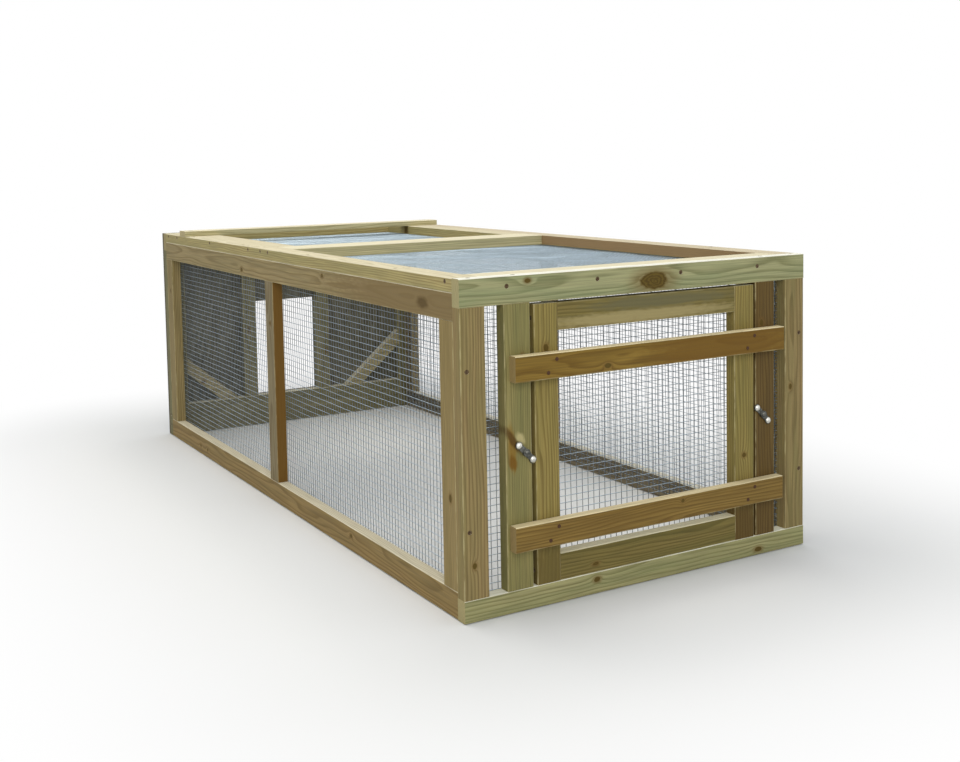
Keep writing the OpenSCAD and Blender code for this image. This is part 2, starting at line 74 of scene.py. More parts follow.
lens = bpy.data.cameras.new("photograph_view")
lens.sensor_width = SENSOR_MM
lens.lens = FOCAL_PIXELS / PICTURE_WIDTH * SENSOR_MM
lens.shift_x = (PICTURE_WIDTH / 2 - LENS_AXIS_PIXEL[0]) / PICTURE_WIDTH
lens.shift_y = (LENS_AXIS_PIXEL[1] - PICTURE_HEIGHT / 2) / PICTURE_WIDTH
lens.clip_start = NEAREST
lens.clip_end = FARTHEST
camera = bpy.data.objects.new("photograph_view", lens)
bpy.context.scene.collection.objects.link(camera)
bpy.context.scene.camera = camera

ahead = Vector((math.sin(YAW) * math.cos(PITCH),
                math.cos(YAW) * math.cos(PITCH),
                -math.sin(PITCH)))
level = Vector((math.cos(YAW), -math.sin(YAW), 0))
above = level.cross(ahead)
across = level * math.cos(ROLL) - above * math.sin(ROLL)
upward = level * math.sin(ROLL) + above * math.cos(ROLL)
turn = Matrix((across, upward, -ahead)).transposed().to_4x4()
stand = front_corner + CAMERA_FROM_CORNER
camera.matrix_world = Matrix.Translation(stand) @ turn


# The studio: a plain pale floor that fades into a white surround, a broad soft
# lamp high over the run and a second one beyond the camera.
MM = 0.001


def colour(code):
    """The linear colour of an sRGB hex code, with alpha."""
    parts = [int(code[i:i + 2], 16) / 255 for i in (1, 3, 5)]
    linear = [p / 12.92 if p <= 0.04045 else ((p + 0.055) / 1.055) ** 2.4
              for p in parts]
    return (*linear, 1.0)


def add(tree, kind, inputs=None, **settings):
    """Adds a node with its settings, and a value or a link for each input,
    which goes by its name or number. Map Range has its value as 0, its range
    as 1 and 2 and the result's as 3 and 4. A colour Mix has its share as 0 and
    its colours as 6 and 7."""
    new = tree.nodes.new(kind)
    for name, value in settings.items():
        setattr(new, name, value)
    for socket, value in (inputs or {}).items():
        if isinstance(value, bpy.types.Node):
            value = value.outputs[0]
        if isinstance(value, bpy.types.NodeSocket):
            tree.links.new(value, new.inputs[socket])
        else:
            new.inputs[socket].default_value = value
    return new


def new_material(name):
    """An empty node material, as its tree and its surface shader."""
    made = bpy.data.materials.new(name)
    made.use_nodes = True
    tree = made.node_tree
    tree.nodes.clear()
    shader = add(tree, "ShaderNodeBsdfPrincipled")
    add(tree, "ShaderNodeOutputMaterial", {"Surface": shader})
    return made, tree, shader


def seen_directly(tree):
    """1 for rays from the camera, and from gloss and glass, and else 0."""
    ray = add(tree, "ShaderNodeLightPath")
    either = add(tree, "ShaderNodeMath",
                 {0: ray.outputs["Is Camera Ray"],
                  1: ray.outputs["Is Glossy Ray"]}, operation="MAXIMUM")
    return add(tree, "ShaderNodeMath",
               {0: either, 1: ray.outputs["Is Transmission Ray"]},
               operation="MAXIMUM")


WHITE = "#FFFFFF"
FLOOR_TONE = "#E6E8EA"
FLOOR_SIZE = 60.0
FLOOR_UNDER_RUN = 1.5 * MM
# Metres from the run at which the floor starts to fade, and where it is white
FADE_FROM = 0.12
FADE_TO = 0.80
SKY_TONE = "#E9F0FA"
SKY_STRENGTH = 0.6
bpy.ops.object.select_all(action="DESELECT")
bpy.ops.mesh.primitive_plane_add(
    size=FLOOR_SIZE, location=(0, 0, -FLOOR_UNDER_RUN))
floor = bpy.context.object
floor.name = "floor"
floor_material, tree, shader = new_material("pale_floor")
shader.inputs["Base Color"].default_value = colour(FLOOR_TONE)
shader.inputs["Roughness"].default_value = 0.9
shader.inputs["Specular IOR Level"].default_value = 0.1
# How far a place on the floor is from the rectangle that the run stands on
place = add(tree, "ShaderNodeTexCoord")
away = add(tree, "ShaderNodeVectorMath", {0: place.outputs["Object"]},
           operation="ABSOLUTE")
away = add(tree, "ShaderNodeVectorMath",
           {0: away, 1: (cad_box[1][0], cad_box[1][1], 1.0)},
           operation="SUBTRACT")
away = add(tree, "ShaderNodeVectorMath", {0: away, 1: (0, 0, 0)},
           operation="MAXIMUM")
away = add(tree, "ShaderNodeVectorMath", {0: away}, operation="LENGTH")
fade = add(tree, "ShaderNodeMapRange",
           {0: away.outputs["Value"], 1: FADE_FROM, 2: FADE_TO,
            3: 0.0, 4: 1.0}, interpolation_type="SMOOTHSTEP")
fade = add(tree, "ShaderNodeMath", {0: fade, 1: seen_directly(tree)},
           operation="MULTIPLY")
white = add(tree, "ShaderNodeEmission",
            {"Color": colour(WHITE), "Strength": 1.0})
surface = add(tree, "ShaderNodeMixShader", {0: fade, 1: shader, 2: white})
end = next(n for n in tree.nodes if n.type == "OUTPUT_MATERIAL")
tree.links.new(surface.outputs[0], end.inputs["Surface"])
floor.data.materials.append(floor_material)

world = bpy.data.worlds.new("white_surround")
bpy.context.scene.world = world
world.use_nodes = True
tree = world.node_tree
tree.nodes.clear()
light = add(tree, "ShaderNodeBackground",
            {"Color": colour(SKY_TONE), "Strength": SKY_STRENGTH})
backdrop = add(tree, "ShaderNodeBackground",
               {"Color": colour(WHITE), "Strength": 1.0})
shown = add(tree, "ShaderNodeMixShader",
            {0: seen_directly(tree), 1: light, 2: backdrop})
add(tree, "ShaderNodeOutputWorld", {"Surface": shown})


def soft_lamp(name, place, aim, size, watts, tint):
    """A square area lamp at a place, turned towards a point."""
    data = bpy.data.lights.new(name, "AREA")
    data.size = size
    data.energy = watts
    data.color = colour(tint)[:3]
    lamp = bpy.data.objects.new(name, data)
    bpy.context.scene.collection.objects.link(lamp)
    lamp.location = place
    lamp.rotation_euler = (Vector(aim) - Vector(place)).to_track_quat(
        "-Z", "Y").to_euler()


soft_lamp("overhead_lamp", place=(-0.4, 0.2, 3.6), aim=(0, 0.1, 0.3),
          size=3.0, watts=85, tint="#FFF6E4")
soft_lamp("front_lamp", place=(-2.2, -4.4, 2.6), aim=(0, -0.6, 0.3),
          size=2.4, watts=75, tint="#FFF9EE")
bpy.context.scene.view_settings.view_transform = "Standard"


# The front panel: two full-width rails with two posts and two door jambs
# between them, 25 mm softwood batten, screwed through the rails. Pressure
# treatment leaves it green over straw brown, and its top has painted light, a
# near-white colour that stands in for the light falling on it.
AXES = "XYZ"
# Sizes in the wood's pattern: how long in mm along the grain, and how wide
# across it. Real fibres are too fine to show, so they are drawn coarse.
RING_WAVE = (420, 55)
TREATMENT_PATCH = (260, 26)
FIBRE = (90, 2.2)
KNOT_FRAY = (14, 5)
RESIN_FRAY = (18, 6)
SCUFF = (30, 6)
SAW_MARK = (3.0, 60)
# Sizes in mm that chance sets for each timber, least and most
RING_GAP = (3.4, 5.2)
HEART_ASIDE = (4, 46)
HEART_BEHIND = (26, 60)
KNOT_LENGTH = (4, 8)
KNOT_WIDTH = (3, 5)
# Other sizes in mm
KNOT_EVERY = 400
RING_WAVE_HEIGHT = 26.0
RINGS_PUSHED_BY_KNOT = 11.0
ARRIS_STARTS = 2.4
ARRIS_FULL = 0.9
GRAIN_RELIEF = 0.35
# How fast the rings narrow up the tree, and how strongly three colours show
TREE_TAPER = 0.004
LATE_WOOD_SHARE = 0.62
TREATMENT_SHARE = 0.5
HALO_SHARE = 0.55
KNOT_HALO = "#75592C"
KNOT_DARK = "#4F3E12"
KNOT_PALE = "#62501C"
WORN_ARRIS = "#BDB184"
SAWN_END = "#B39F72"


def coat(piece, material):
    """Gives a CAD piece its finish in place of its plain colour."""
    slots = nodes[piece].data.materials
    slots.clear()
    slots.append(material)


def treated_timber(piece, along, across, pale, dark, stain,
                   painted_top_tone="#E6E0C8", flank_shade=None, knots=(), stains_and_painted_shadows=()):
    """Gives a timber treated softwood, its grain along it. knots are
    (along, across, half length, half width) from its middle, in mm. flank is
    painted shade: a darker colour for its narrow faces. smears are patches of
    resin, dirt and painted shadow, with a knot's four numbers, a slant in
    degrees and a colour. bleach is painted light on the faces that look up."""
    low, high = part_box(piece)
    half = (high - low) / 2 / MM
    through = next(a for a in AXES if a not in (along, across))
    half_across = half[AXES.index(across)]
    half_through = half[AXES.index(through)]
    half_along = half[AXES.index(along)]
    chance = random.Random(piece)
    made, tree, shader = new_material("treated_softwood_" + piece)

    # Place in the timber, in mm: along it, across its wide face, through it
    source = add(tree, "ShaderNodeTexCoord")
    centred = add(tree, "ShaderNodeVectorMath",
                  {0: source.outputs["Object"], 1: (low + high) / 2},
                  operation="SUBTRACT")
    in_mm = add(tree, "ShaderNodeVectorMath", {0: centred, "Scale": 1 / MM},
                operation="SCALE")
    parts = add(tree, "ShaderNodeSeparateXYZ", {0: in_mm})
    place = add(tree, "ShaderNodeCombineXYZ",
                {0: parts.outputs[AXES.index(along)],
                 1: parts.outputs[AXES.index(across)],
                 2: parts.outputs[AXES.index(through)]})
    start = Vector([chance.uniform(0, 50) for _ in range(3)])

    def streaks(size, detail):
        """Noise drawn out to a size in mm, along the grain and across it."""
        length, width = size
        scaled = add(tree, "ShaderNodeVectorMath",
                     {0: place, 1: (1 / length, 1 / width, 1 / width),
                      2: start}, operation="MULTIPLY_ADD")
        return add(tree, "ShaderNodeTexNoise",
                   {"Vector": scaled, "Scale": 1.0, "Detail": detail})

    def away_from(s_along, s_across, length, width, slant=0):
        """How far a place is from a spot's middle, 1 at the spot's rim."""
        offset = add(tree, "ShaderNodeVectorMath",
                     {0: place, 1: (s_along, s_across, 0)},
                     operation="SUBTRACT")
        turned = add(tree, "ShaderNodeVectorRotate",
                     {"Vector": offset, "Angle": math.radians(slant)},
                     rotation_type="Z_AXIS")
        sized = add(tree, "ShaderNodeVectorMath",
                    {0: turned, 1: (1 / length, 1 / width, 0)},
                    operation="MULTIPLY")
        return add(tree, "ShaderNodeVectorMath", {0: sized},
                   operation="LENGTH").outputs["Value"]

    # Knots, by how far the nearest is, with frayed rims
    if not knots:
        knots = [(chance.uniform(-0.8, 0.8) * half_along,
                  chance.uniform(-0.7, 0.7) * half_across,
                  chance.uniform(*KNOT_LENGTH), chance.uniform(*KNOT_WIDTH))
                 for _ in range(1 + int(half_along / KNOT_EVERY))]
    nearest = away_from(*knots[0])
    for spot in knots[1:]:
        nearest = add(tree, "ShaderNodeMath",
                      {0: nearest, 1: away_from(*spot)}, operation="MINIMUM")
    ragged = add(tree, "ShaderNodeMath",
                 {0: streaks(KNOT_FRAY, 2), 1: 0.5, 2: nearest},
                 operation="MULTIPLY_ADD")
    knot = add(tree, "ShaderNodeMapRange",
               {0: ragged, 1: 1.32, 2: 1.12, 3: 0.0, 4: 1.0})
    halo = add(tree, "ShaderNodeMapRange",
               {0: ragged, 1: 2.6, 2: 1.1, 3: 0.0, 4: 1.0},
               interpolation_type="SMOOTHSTEP")

    # Growth rings round a heart that lies outside the timber, bent round knots
    heart = (0, chance.choice((-1, 1)) * chance.uniform(*HEART_ASIDE),
             chance.choice((-1, 1)) * chance.uniform(*HEART_BEHIND))
    from_heart = add(tree, "ShaderNodeVectorMath", {0: place, 1: heart},
                     operation="SUBTRACT")
    tapered = add(tree, "ShaderNodeVectorMath",
                  {0: from_heart, 1: (TREE_TAPER, 1, 1)},
                  operation="MULTIPLY")
    radius = add(tree, "ShaderNodeVectorMath", {0: tapered},
                 operation="LENGTH")
    swayed = add(tree, "ShaderNodeMath",
                 {0: streaks(RING_WAVE, 2), 1: RING_WAVE_HEIGHT,
                  2: radius.outputs["Value"]}, operation="MULTIPLY_ADD")
    squared = add(tree, "ShaderNodeMath", {0: nearest, 1: nearest, 2: 1.0},
                  operation="MULTIPLY_ADD")
    pushed = add(tree, "ShaderNodeMath",
                 {0: RINGS_PUSHED_BY_KNOT, 1: squared}, operation="DIVIDE")
    bent = add(tree, "ShaderNodeMath", {0: swayed, 1: pushed})
    count = add(tree, "ShaderNodeMath",
                {0: bent, 1: chance.uniform(*RING_GAP)}, operation="DIVIDE")
    phase = add(tree, "ShaderNodeMath", {0: count}, operation="FRACT")
    darkening = add(tree, "ShaderNodeMapRange",
                    {0: phase, 1: 0.30, 2: 0.90, 3: 0.0, 4: 1.0},
                    interpolation_type="SMOOTHSTEP")
    ring_end = add(tree, "ShaderNodeMapRange",
                   {0: phase, 1: 0.90, 2: 1.0, 3: 1.0, 4: 0.0})
    late_wood = add(tree, "ShaderNodeMath", {0: darkening, 1: ring_end},
                    operation="MULTIPLY")

    # Colour: early and late wood, the treatment's patches, then fine fibres
    tinted = add(tree, "ShaderNodeMath", {0: late_wood, 1: LATE_WOOD_SHARE},
                 operation="MULTIPLY")
    wood = add(tree, "ShaderNodeMix",
               {0: tinted, 6: colour(pale), 7: colour(dark)},
               data_type="RGBA").outputs[2]
    patch = add(tree, "ShaderNodeMapRange",
                {0: streaks(TREATMENT_PATCH, 3), 1: 0.36, 2: 0.66,
                 3: 0.0, 4: TREATMENT_SHARE})
    wood = add(tree, "ShaderNodeMix",
               {0: patch, 6: wood, 7: colour(stain)},
               data_type="RGBA").outputs[2]
    fibres = streaks(FIBRE, 4)
    shade = add(tree, "ShaderNodeMapRange",
                {0: fibres, 1: 0.25, 2: 0.75, 3: 0.74, 4: 1.20})
    wood = add(tree, "ShaderNodeMix", {0: 1.0, 6: wood, 7: shade},
               data_type="RGBA", blend_type="MULTIPLY").outputs[2]
    halo_share = add(tree, "ShaderNodeMath", {0: halo, 1: HALO_SHARE},
                     operation="MULTIPLY")
    wood = add(tree, "ShaderNodeMix",
               {0: halo_share, 6: wood, 7: colour(KNOT_HALO)},
               data_type="RGBA").outputs[2]
    knot_ring = add(tree, "ShaderNodeMath", {0: ragged, 1: 22.0},
                    operation="MULTIPLY")
    knot_ring = add(tree, "ShaderNodeMath", {0: knot_ring}, operation="SINE")
    knot_tone = add(tree, "ShaderNodeMapRange",
                    {0: knot_ring, 1: -1.0, 2: 1.0, 3: 0.0, 4: 1.0})
    knot_wood = add(tree, "ShaderNodeMix",
                    {0: knot_tone, 6: colour(KNOT_DARK),
                     7: colour(KNOT_PALE)},
                    data_type="RGBA").outputs[2]
    wood = add(tree, "ShaderNodeMix", {0: knot, 6: wood, 7: knot_wood},
               data_type="RGBA").outputs[2]

    # Patches with frayed rims: resin that has bled out of the wood, dirt, and painted
    # shadow, a dark patch that stands in for a shadow
    for *spot, tone in stains_and_painted_shadows:
        frayed = add(tree, "ShaderNodeMath",
                     {0: streaks(RESIN_FRAY, 3), 1: 0.8, 2: away_from(*spot)},
                     operation="MULTIPLY_ADD")
        share = add(tree, "ShaderNodeMapRange",
                    {0: frayed, 1: 1.7, 2: 0.9, 3: 0.0, 4: 0.8},
                    interpolation_type="SMOOTHSTEP")
        wood = add(tree, "ShaderNodeMix",
                   {0: share, 6: wood, 7: colour(tone)},
                   data_type="RGBA").outputs[2]

    # Arrises worn pale: where the place is near an edge both ways
    edge = []
    split = add(tree, "ShaderNodeSeparateXYZ", {0: place})
    for axis, reach in ((1, half_across), (2, half_through)):
        out = add(tree, "ShaderNodeMath", {0: split.outputs[axis]},
                  operation="ABSOLUTE")
        edge.append(add(tree, "ShaderNodeMapRange",
                        {0: out, 1: reach - ARRIS_STARTS,
                         2: reach - ARRIS_FULL, 3: 0.0, 4: 1.0}))
    arris = add(tree, "ShaderNodeMath", {0: edge[0], 1: edge[1]},
                operation="MULTIPLY")
    scuffed = add(tree, "ShaderNodeMapRange",
                  {0: streaks(SCUFF, 3), 1: 0.4, 2: 0.6, 3: 0.1, 4: 0.65})
    worn = add(tree, "ShaderNodeMath", {0: arris, 1: scuffed},
               operation="MULTIPLY")
    wood = add(tree, "ShaderNodeMix",
               {0: worn, 6: wood, 7: colour(WORN_ARRIS)},
               data_type="RGBA").outputs[2]

    # Sawn ends have dried pale, and faces that look up get painted light, the bleach
    # colour: a pale tone stands in for the light on them, and a dark one for shade
    facing = add(tree, "ShaderNodeSeparateXYZ", {0: source.outputs["Normal"]})
    # Narrow faces get painted shade: the flank colour stands in for the shade on them
    if flank_shade:
        flank_shade_share = add(tree, "ShaderNodeMath",
                      {0: facing.outputs[AXES.index(across)]},
                      operation="ABSOLUTE")
        flank_shade_share = add(tree, "ShaderNodeMapRange",
                      {0: flank_shade_share, 1: 0.6, 2: 0.9, 3: 0.0, 4: 0.92})
        wood = add(tree, "ShaderNodeMix",
                   {0: flank_shade_share, 6: wood, 7: colour(flank_shade)},
                   data_type="RGBA").outputs[2]
    end_on = add(tree, "ShaderNodeMath",
                 {0: facing.outputs[AXES.index(along)]}, operation="ABSOLUTE")
    end_on = add(tree, "ShaderNodeMapRange",
                 {0: end_on, 1: 0.6, 2: 0.9, 3: 0.0, 4: 0.5})
    wood = add(tree, "ShaderNodeMix",
               {0: end_on, 6: wood, 7: colour(SAWN_END)},
               data_type="RGBA").outputs[2]
    lit = add(tree, "ShaderNodeMapRange",
              {0: facing.outputs["Z"], 1: 0.3, 2: 0.65, 3: 0.0, 4: 1.0})
    top_tone_share = add(tree, "ShaderNodeMapRange",
                {0: fibres, 1: 0.3, 2: 0.7, 3: 0.62, 4: 0.92})
    top_tone_share = add(tree, "ShaderNodeMath", {0: late_wood, 1: -0.26, 2: top_tone_share},
                operation="MULTIPLY_ADD")
    top_tone_share = add(tree, "ShaderNodeMath", {0: lit, 1: top_tone_share},
                operation="MULTIPLY")
    wood = add(tree, "ShaderNodeMix", {0: top_tone_share, 6: wood, 7: colour(painted_top_tone)},
               data_type="RGBA").outputs[2]
    tree.links.new(wood, shader.inputs["Base Color"])

    # The surface is dry and dull, raised along the late wood, lightly sawn
    rough = add(tree, "ShaderNodeMapRange",
                {0: fibres, 1: 0.2, 2: 0.8, 3: 0.66, 4: 0.86})
    tree.links.new(rough.outputs[0], shader.inputs["Roughness"])
    shader.inputs["IOR"].default_value = 1.45
    shader.inputs["Specular IOR Level"].default_value = 0.3
    height = add(tree, "ShaderNodeMath", {0: late_wood, 1: 0.5, 2: fibres},
                 operation="MULTIPLY_ADD")
    height = add(tree, "ShaderNodeMath",
                 {0: streaks(SAW_MARK, 2), 1: 0.5, 2: height},
                 operation="MULTIPLY_ADD")
    bump = add(tree, "ShaderNodeBump",
               {"Height": height, "Strength": 0.55,
                "Distance": GRAIN_RELIEF * MM})
    tree.links.new(bump.outputs[0], shader.inputs["Normal"])
    coat(piece, made)


# A large knot sits in the middle of the top rail
treated_timber("front_top_rail", "X", "Z", pale="#A4A277", dark="#6B6B42",
               stain="#788760", painted_top_tone="#FFFFF8",
               knots=[(18, -4.5, 33, 17), (-262, 14, 6, 4)])
treated_timber("front_bottom_rail", "X", "Z", pale="#A6A071", dark="#6D693C",
               stain="#7F8558", painted_top_tone="#FFFFF0",
               knots=[(-120, 6, 7, 5), (276, -9, 9, 5)])
for piece in ("front_left_post", "front_right_post"):
    treated_timber(piece, "Z", "X", pale="#958156", dark="#65512D",
                   stain="#7C7747")
# Round the left turn button the jamb has orange-brown, pale and dark patches
treated_timber("door_left_jamb", "Z", "X", pale="#938957", dark="#605A2F",
               stain="#707143", knots=[(160, 10, 6, 4)],
               stains_and_painted_shadows=[(0, -14, 44, 9, 6, "#84641E"),
                       (16, 3, 13, 8, 34, "#BFB27E"),
                       (14, -12, 32, 7, 34, "#4E340C"),
                       (-25, -13, 15, 9, 20, "#704C0A")])
treated_timber("door_right_jamb", "Z", "X", pale="#6A552C", dark="#443011",
               stain="#58441B")

# The door: a loose frame of the same batten, browner, with two battens nailed
# across its front. They lap over the jambs and stop it from falling inwards.
# The feet of its stiles carry painted shadow: a dark patch stands in for the lower
# batten's shadow on them.
for piece, feet_shadow in (("door_left_stile", "#65572B"),
                    ("door_right_stile", "#4F3813")):
    treated_timber(piece, "Z", "X", pale="#96854B", dark="#624F23",
                   stain="#7A723C", stains_and_painted_shadows=[(-253, 0, 95, 60, 0, feet_shadow)])
DOOR_RAIL = {"pale": "#81723F", "dark": "#4F451F", "stain": "#656030"}
# The top rail is paler along its lower edge and greyer along its upper one
# Its faces that look up get painted shade: a dark colour stands in for the shade in the
# slot above the door
treated_timber("door_top_rail", "X", "Z", **DOOR_RAIL, painted_top_tone="#7C7048",
               stains_and_painted_shadows=[(-20, -13, 240, 12, 0, "#A69869"),
                       (30, 11, 180, 12, 0, "#6B6647")])
treated_timber("door_bottom_rail", "X", "Z", **DOOR_RAIL, painted_top_tone="#FFFADC")
# The upper batten is darker and redder towards its right end
treated_timber("door_upper_batten", "X", "Z", pale="#8B7030", dark="#583E12",
               stain="#6A5018", painted_top_tone="#FFF0C4",
               stains_and_painted_shadows=[(160, 0, 190, 60, 0, "#71521B")])
treated_timber("door_lower_batten", "X", "Z", pale="#8C7239", dark="#5A4018",
               stain="#6C5222", painted_top_tone="#FFF0C4")

# The side panels: rails along the run with three stiles between them, 25 mm
# lower than the front panel, so that the roof frame lies on top of them.
SIDE_WOOD = {"pale": "#9D8B61", "dark": "#6D5930", "stain": "#817650"}
# The left top rail is darker in its front half, with a large knot near its end
treated_timber("left_top_rail", "Y", "Z", **SIDE_WOOD,
               knots=[(-759, -2, 15, 8), (-300, 12, 6, 4), (210, -10, 7, 5)],
               stains_and_painted_shadows=[(-760, 0, 420, 60, 0, "#7B6741"),
                       (-759, -2, 22, 11, 0, "#54421F")])
treated_timber("right_top_rail", "Y", "Z", **SIDE_WOOD)
treated_timber("left_bottom_rail", "Y", "Z", pale="#957D4E", dark="#685028",
               stain="#7B6B42")
treated_timber("right_bottom_rail", "Y", "Z", pale="#857A62", dark="#5B5040",
               stain="#6F6650", painted_top_tone="#FFFAE8")
for side in ("left", "right"):
    treated_timber(f"{side}_front_stile", "Z", "Y", pale="#9D8A5B",
                   dark="#6C552E", stain="#7B6A3C")
    # The middle stiles' narrow faces get painted shade, a darker orange-brown
    treated_timber(f"{side}_middle_stile", "Z", "Y", pale="#897C5E",
                   dark="#5E4D2F", stain="#6B5F3D", flank_shade="#715017")
    treated_timber(f"{side}_rear_stile", "Z", "Y", pale="#96855A",
                   dark="#67522D", stain="#75663B")

# The rear panel: a framed board. Rails, posts, the battens beside the
# pop-hole and the corner braces stiffen the thin board behind them.
REAR_WOOD = {"pale": "#817A54", "dark": "#565030", "stain": "#676547"}
for piece in ("rear_top_rail", "rear_sill"):
    treated_timber(piece, "X", "Z", **REAR_WOOD)
for piece in ("rear_left_post", "rear_right_post", "pop_left_batten",
              "pop_right_batten"):
    treated_timber(piece, "Z", "X", **REAR_WOOD)
for piece in ("rear_left_brace", "rear_right_brace"):
    treated_timber(piece, "X", "Z", pale="#AC9F74", dark="#75693F",
                   stain="#8B8259")

# The roof frame, flat on the side panels: side rails, a front and a rear rail
# and two bars side by side in the middle. Behind the bars a second rail lies
# beside each side rail, and a thin batten crosses near the rear.
ROOF_WOOD = {"pale": "#B2A26E", "dark": "#7B693A", "stain": "#938E5F"}
for piece in ("roof_left_rail", "roof_left_inner_rail"):
    treated_timber(piece, "Y", "X", **ROOF_WOOD, painted_top_tone="#D8D1B8")
# The right rail's side faces get painted shade, a darker brown
treated_timber("roof_right_rail", "Y", "X", **ROOF_WOOD, painted_top_tone="#CFC5B0",
               flank_shade="#8E7452")
treated_timber("roof_right_inner_rail", "Y", "X", **ROOF_WOOD,
               painted_top_tone="#D8D1B8", knots=[(235, -22, 11, 9), (-140, 8, 6, 4)])
for piece in ("roof_front_rail", "roof_rear_rail"):
    treated_timber(piece, "X", "Y", **ROOF_WOOD)
for piece in ("roof_cross_bar", "roof_second_bar", "roof_top_batten"):
    treated_timber(piece, "X", "Y", pale="#C1B88F", dark="#908456",
                   stain="#A7A37B")

# The board that closes the rear: 12 mm exterior plywood, treated with the
# timber. Its faces are rotary-cut veneer, so the grain wanders in wide arches,
# and its cut edges show the plies, which run up and across by turns.
PLY_MM = 2.4
ARCH_MM = (38, 60, 420)
LINES_IN_ARCH = 17.0
STAIN_MM = 125
# Real pores are too fine to show, so they are drawn coarse
PORE_MM = (2.0, 2.0, 60)
PORE_DEPTH = 0.3 * MM
# The veneer colours are painted shade: darker than the board's own, they stand in for the
# shade inside the run
SHADED_VENEER_PALE = "#67634F"
SHADED_VENEER_DARK = "#524F3D"
PLY_DARK = "#4A4432"
plywood, tree, shader = new_material("treated_plywood")
source = add(tree, "ShaderNodeTexCoord")
in_mm = add(tree, "ShaderNodeVectorMath",
            {0: source.outputs["Object"], "Scale": 1 / MM}, operation="SCALE")
drawn_out = add(tree, "ShaderNodeVectorMath", {0: in_mm, 1: ARCH_MM},
                operation="DIVIDE")
arches = add(tree, "ShaderNodeTexNoise",
             {"Vector": drawn_out, "Scale": 1.0, "Detail": 2.0})
bands = add(tree, "ShaderNodeMath", {0: arches, 1: LINES_IN_ARCH},
            operation="MULTIPLY")
bands = add(tree, "ShaderNodeMath", {0: bands}, operation="FRACT")
veneer_line = add(tree, "ShaderNodeMapRange",
                  {0: bands, 1: 0.35, 2: 0.95, 3: 0.0, 4: 1.0},
                  interpolation_type="SMOOTHSTEP")
drawn_out = add(tree, "ShaderNodeVectorMath", {0: in_mm, 1: PORE_MM},
                operation="DIVIDE")
pores = add(tree, "ShaderNodeTexNoise",
            {"Vector": drawn_out, "Scale": 1.0, "Detail": 3.0})
weathered = add(tree, "ShaderNodeTexNoise",
                {"Vector": in_mm, "Scale": 1 / STAIN_MM, "Detail": 3.0})
veneer = add(tree, "ShaderNodeMix",
             {0: veneer_line, 6: colour(SHADED_VENEER_PALE), 7: colour(SHADED_VENEER_DARK)},
             data_type="RGBA").outputs[2]
shade = add(tree, "ShaderNodeMapRange",
            {0: pores, 1: 0.3, 2: 0.7, 3: 0.8, 4: 1.14})
veneer = add(tree, "ShaderNodeMix", {0: 1.0, 6: veneer, 7: shade},
             data_type="RGBA", blend_type="MULTIPLY").outputs[2]
shade = add(tree, "ShaderNodeMapRange",
            {0: weathered, 1: 0.35, 2: 0.65, 3: 0.82, 4: 1.12})
veneer = add(tree, "ShaderNodeMix", {0: 1.0, 6: veneer, 7: shade},
             data_type="RGBA", blend_type="MULTIPLY").outputs[2]
depth = add(tree, "ShaderNodeSeparateXYZ", {0: in_mm})
ply = add(tree, "ShaderNodeMath",
          {0: depth.outputs["Y"], 1: 2 * PLY_MM}, operation="DIVIDE")
ply = add(tree, "ShaderNodeMath", {0: ply}, operation="FRACT")
ply = add(tree, "ShaderNodeMath", {0: ply, 1: 0.5}, operation="GREATER_THAN")
facing = add(tree, "ShaderNodeSeparateXYZ", {0: source.outputs["Normal"]})
facing = add(tree, "ShaderNodeMath", {0: facing.outputs["Y"]},
             operation="ABSOLUTE")
cut_edge = add(tree, "ShaderNodeMath", {0: facing, 1: 0.5},
               operation="LESS_THAN")
dark_ply = add(tree, "ShaderNodeMath", {0: ply, 1: cut_edge},
               operation="MULTIPLY")
veneer = add(tree, "ShaderNodeMix",
             {0: dark_ply, 6: veneer, 7: colour(PLY_DARK)},
             data_type="RGBA").outputs[2]
tree.links.new(veneer, shader.inputs["Base Color"])
shader.inputs["Roughness"].default_value = 0.8
shader.inputs["Specular IOR Level"].default_value = 0.3
bump = add(tree, "ShaderNodeBump",
           {"Height": pores, "Strength": 0.4, "Distance": PORE_DEPTH})
tree.links.new(bump.outputs[0], shader.inputs["Normal"])
coat("rear_board", plywood)

# The mesh: half-inch welded mesh of 1.2 mm wire, two layers of straight wires
# welded where they cross and then hot-dip galvanised. Each sheet is cut to its
# panel and stapled to the inside, so it bulges a little between the timbers.
SPANGLE = 5 * MM
BLOOM = 40 * MM
WIRE = 1.2 * MM
WIRE_SIDES = 6
WIRE_PITCH = 12.7 * MM
# How far two wires are pressed into each other where they are welded
WELD = 0.1 * MM
BULGE = 3.0 * MM
BULGE_WIDTH = 0.2
BEND_EVERY = 60 * MM
FLAT_NEAR_TIMBER = 50 * MM
STAPLE_EVERY = 120 * MM
STAPLE_FROM_END = 28 * MM
STAPLE_CROWN = 10 * MM
STAPLE_WIRE = 1.3 * MM
STAPLE_LEG = 6 * MM
# Least and most degrees that a staple is turned from the wires
STAPLE_LEAN = (30, 60)
STAPLE_SMOOTH = math.radians(50)
# How a cylinder is turned to lie along X, Y or Z
WIRE_TURN = {0: (0, math.pi / 2, 0), 1: (math.pi / 2, 0, 0), 2: (0, 0, 0)}


